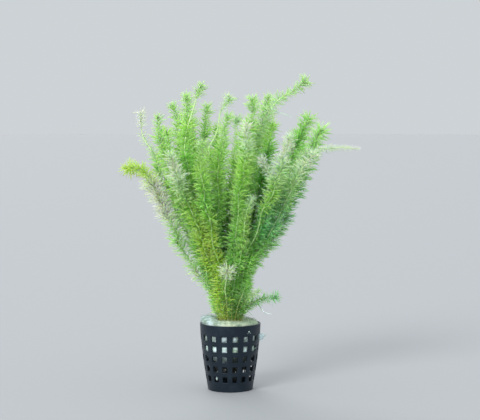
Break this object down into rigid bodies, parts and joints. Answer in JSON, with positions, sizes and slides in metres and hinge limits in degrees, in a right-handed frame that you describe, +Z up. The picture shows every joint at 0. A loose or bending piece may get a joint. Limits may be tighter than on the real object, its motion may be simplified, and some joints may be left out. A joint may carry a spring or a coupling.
{
  "type": "potted water plant",
  "caption": "Bunch of fine-leaved water plant stems that fan out from a mineral wool plug in a small black net pot, for an aquarium or terrarium.",
  "frame": {"origin": "centre of the pot's underside", "axes": "+Z up along the pot's axis, -Y towards the viewer of the picture, +X to the viewer's right"},
  "size_m": [0.189, 0.0909, 0.252],
  "materials": {
    "black_plastic": "satin black",
    "mineral_wool": "fibrous, dull",
    "leaf_green": "soft leaf",
    "leaf_bright": "soft leaf",
    "leaf_dark": "soft leaf",
    "leaf_pale": "soft leaf",
    "root": "smooth thread"
  },
  "bodies": {
    "root": {"net_pot": "black_plastic", "wool_plug": "mineral_wool", "shoot_left_arch": "leaf_pale", "shoot_01": "leaf_pale", "shoot_02": "leaf_bright", "shoot_03": "leaf_bright", "shoot_04": "leaf_bright", "shoot_05": "leaf_bright", "shoot_06": "leaf_green", "shoot_07": "leaf_pale", "shoot_08": "leaf_bright", "shoot_09": "leaf_pale", "shoot_10": "leaf_bright", "shoot_11": "leaf_bright", "shoot_right_arch": "leaf_green", "shoot_12": "leaf_green", "shoot_13": "leaf_green", "shoot_bare_tip": "leaf_pale", "shoot_14": "leaf_pale", "shoot_15": "leaf_pale", "shoot_bent": "leaf_pale", "shoot_16": "leaf_pale", "shoot_17": "leaf_green", "shoot_18": "leaf_green", "shoot_19": "leaf_green", "shoot_20": "leaf_green", "shoot_21": "leaf_green", "shoot_22": "leaf_dark", "shoot_23": "leaf_pale", "shoot_24": "leaf_bright", "short_shoot_front": "leaf_pale", "short_shoot_white": "leaf_pale", "short_shoot_dark": "leaf_dark", "short_shoot_low": "leaf_green", "short_shoot_right": "leaf_pale", "loose_root": "root"}
  },
  "joints": []
}
